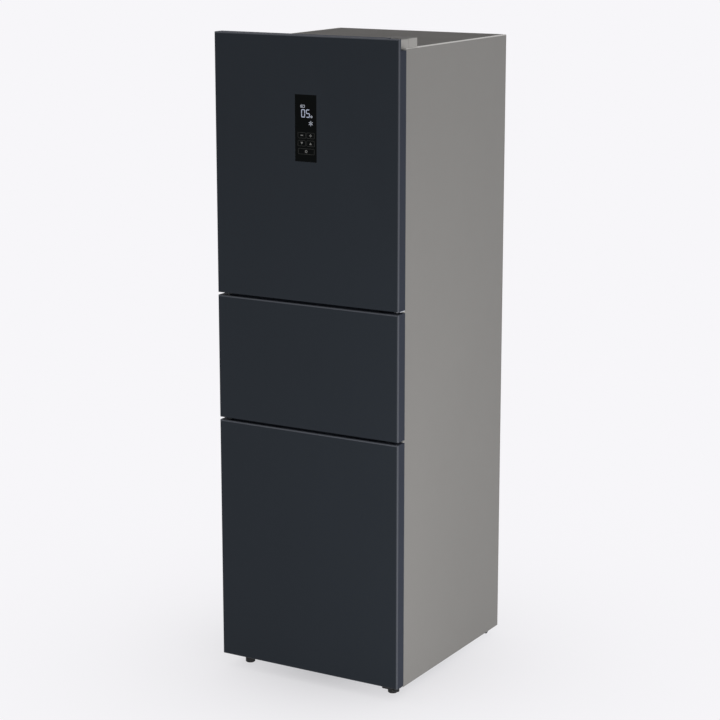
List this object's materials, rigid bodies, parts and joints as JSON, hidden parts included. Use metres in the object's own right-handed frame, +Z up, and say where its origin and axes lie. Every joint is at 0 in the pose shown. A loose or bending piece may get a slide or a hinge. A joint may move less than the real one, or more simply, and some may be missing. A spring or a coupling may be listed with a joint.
{
  "type": "refrigerator",
  "caption": "Tall free-standing refrigerator-freezer with stacked hinged doors, a touch control panel, glass shelves, sliding drawers and a rear compressor bay.",
  "frame": {"origin": "floor level under the middle of the overall box", "axes": "+X right as seen from the front, +Y to the back, +Z up"},
  "size_m": [0.544, 0.61, 1.723],
  "materials": {
    "door_front": "matte",
    "door_edge": "satin",
    "foam": "matte",
    "liner_white": "satin",
    "gasket": "matte",
    "control_glass": "gloss",
    "circuit_board": "satin",
    "clear_plastic": "gloss",
    "side_grey": "satin",
    "top_grey": "satin",
    "back_grey": "satin",
    "galvanised": "satin",
    "rail_grey": "satin",
    "hinge_steel": "satin",
    "cover_grey": "satin",
    "compressor_black": "gloss",
    "mount_rubber": "matte",
    "tray_black": "satin",
    "copper": "satin",
    "fin_aluminium": "satin",
    "fan_white": "satin",
    "lamp_lens": "gloss",
    "shelf_glass": "gloss",
    "trim_white": "satin",
    "foot_black": "satin"
  },
  "bodies": {
    "cabinet": {"side_panel_left": "side_grey", "side_panel_right": "side_grey", "top_panel": "top_grey", "back_panel": "back_grey", "base_pan": "galvanised", "cabinet_foam": "foam", "fridge_liner": "liner_white", "middle_liner": "liner_white", "freezer_liner": "liner_white", "mullion_rails": "rail_grey", "top_hinge": "hinge_steel", "hinge_cover": "cover_grey", "middle_hinges": "hinge_steel", "bottom_hinge": "hinge_steel", "hinge_screws": "hinge_steel", "foot_bracket": "galvanised", "compressor_plate": "galvanised", "compressor": "compressor_black", "compressor_mounts": "mount_rubber", "drip_tray": "tray_black", "condenser_coil": "copper", "machine_cover": "back_grey", "power_inlet": "tray_black", "evaporator": "fin_aluminium", "evaporator_cover": "liner_white", "fan_motor": "tray_black", "air_duct": "liner_white", "lamp_cover": "lamp_lens", "glass_shelves": "shelf_glass", "shelf_trims": "trim_white"},
    "upper_door": {"upper_door_panel": "door_front", "upper_door_frame": "door_edge", "upper_door_foam": "foam", "upper_door_liner": "liner_white", "upper_door_gasket": "gasket", "control_panel": "control_glass", "control_board": "circuit_board", "bottle_balcony": "clear_plastic", "middle_balcony": "clear_plastic", "upper_balcony": "clear_plastic"},
    "middle_door": {"middle_door_panel": "door_front", "middle_door_frame": "door_edge", "middle_door_foam": "foam", "middle_door_liner": "liner_white", "middle_door_gasket": "gasket"},
    "lower_door": {"lower_door_panel": "door_front", "lower_door_frame": "door_edge", "lower_door_foam": "foam", "lower_door_liner": "liner_white", "lower_door_gasket": "gasket"},
    "crisper_drawer": {"crisper_drawer": "clear_plastic"},
    "middle_drawer": {"middle_drawer": "clear_plastic"},
    "freezer_drawer_upper": {"freezer_drawer_upper": "clear_plastic"},
    "freezer_drawer_middle": {"freezer_drawer_middle": "clear_plastic"},
    "freezer_drawer_lower": {"freezer_drawer_lower": "clear_plastic"},
    "fan_rotor": {"fan_rotor": "fan_white"},
    "front_foot_left": {"front_foot_left": "foot_black"},
    "front_foot_right": {"front_foot_right": "foot_black"},
    "rear_roller_left": {"rear_roller_left": "foot_black"},
    "rear_roller_right": {"rear_roller_right": "foot_black"}
  },
  "joints": [
    {"name": "upper_door_hinge", "type": "hinge", "parent": "cabinet", "child": "upper_door", "pos_m": [0.254, -0.2755, 0], "axis": [0, 0, 1], "range_deg": [0, 110]},
    {"name": "middle_door_hinge", "type": "hinge", "parent": "cabinet", "child": "middle_door", "pos_m": [0.254, -0.2755, 0], "axis": [0, 0, 1], "range_deg": [0, 110]},
    {"name": "lower_door_hinge", "type": "hinge", "parent": "cabinet", "child": "lower_door", "pos_m": [0.254, -0.2755, 0], "axis": [0, 0, 1], "range_deg": [0, 110]},
    {"name": "crisper_drawer_slide", "type": "slide", "parent": "cabinet", "child": "crisper_drawer", "axis": [0, -1, 0], "range_m": [0, 0.3]},
    {"name": "middle_drawer_slide", "type": "slide", "parent": "cabinet", "child": "middle_drawer", "axis": [0, -1, 0], "range_m": [0, 0.3]},
    {"name": "freezer_drawer_upper_slide", "type": "slide", "parent": "cabinet", "child": "freezer_drawer_upper", "axis": [0, -1, 0], "range_m": [0, 0.3]},
    {"name": "freezer_drawer_middle_slide", "type": "slide", "parent": "cabinet", "child": "freezer_drawer_middle", "axis": [0, -1, 0], "range_m": [0, 0.3]},
    {"name": "freezer_drawer_lower_slide", "type": "slide", "parent": "cabinet", "child": "freezer_drawer_lower", "axis": [0, -1, 0], "range_m": [0, 0.3]},
    {"name": "fan_spin", "type": "hinge", "parent": "cabinet", "child": "fan_rotor", "pos_m": [0, 0.198, 0.584], "axis": [0, 1, 0], "continuous": true},
    {"name": "left_foot_height", "type": "slide", "parent": "cabinet", "child": "front_foot_left", "axis": [0, 0, -1], "range_m": [0, 0.012]},
    {"name": "right_foot_height", "type": "slide", "parent": "cabinet", "child": "front_foot_right", "axis": [0, 0, -1], "range_m": [0, 0.012]},
    {"name": "left_roller_spin", "type": "hinge", "parent": "cabinet", "child": "rear_roller_left", "pos_m": [-0.231, 0.283, 0.0115], "axis": [1, 0, 0], "continuous": true},
    {"name": "right_roller_spin", "type": "hinge", "parent": "cabinet", "child": "rear_roller_right", "pos_m": [0.231, 0.283, 0.0115], "axis": [1, 0, 0], "continuous": true}
  ],
  "couplings": [
    {"joint": "crisper_drawer_slide", "follows": "upper_door_hinge", "m_per_rad": 0.0955},
    {"joint": "middle_drawer_slide", "follows": "middle_door_hinge", "m_per_rad": 0.0716},
    {"joint": "freezer_drawer_upper_slide", "follows": "lower_door_hinge", "m_per_rad": 0.0716},
    {"joint": "freezer_drawer_middle_slide", "follows": "lower_door_hinge", "m_per_rad": 0.0716},
    {"joint": "freezer_drawer_lower_slide", "follows": "lower_door_hinge", "m_per_rad": 0.0716}
  ]
}
